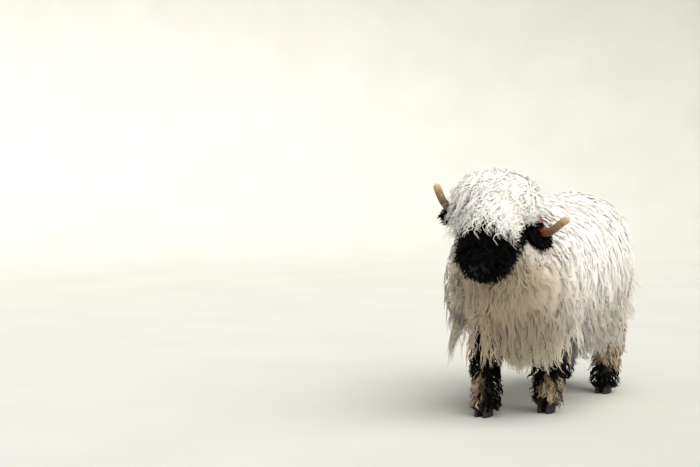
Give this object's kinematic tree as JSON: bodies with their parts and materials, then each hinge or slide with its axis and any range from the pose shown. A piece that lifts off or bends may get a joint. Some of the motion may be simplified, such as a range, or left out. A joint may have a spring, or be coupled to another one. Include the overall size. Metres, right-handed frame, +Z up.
{
  "type": "valais blacknose sheep",
  "caption": "Life-size still model of a horned, long-woolled mountain sheep standing with its head turned.",
  "frame": {"origin": "on the ground, under the middle of the animal's bounding box", "axes": "+Z up, -Y the way the sheep's body faces, +X the sheep's left side"},
  "size_m": [0.5741, 1.2579, 0.9074],
  "materials": {
    "fleece": "long wavy cream wool",
    "black_wool": "short curly black wool",
    "hoof_horn": "satin dark hoof",
    "horn": "ridged pinkish brown horn",
    "eye": "wet dark amber eye"
  },
  "bodies": {
    "root": {"torso": "fleece", "neck": "fleece", "head": "fleece", "tail": "fleece", "ear_left": "black_wool", "ear_right": "black_wool", "leg_front_left": "black_wool", "leg_front_right": "black_wool", "leg_hind_left": "black_wool", "leg_hind_right": "black_wool", "hoof_front_left": "hoof_horn", "hoof_front_right": "hoof_horn", "hoof_hind_left": "hoof_horn", "hoof_hind_right": "hoof_horn", "horn_left": "horn", "horn_right": "horn", "eye_left": "eye", "eye_right": "eye"}
  },
  "joints": []
}
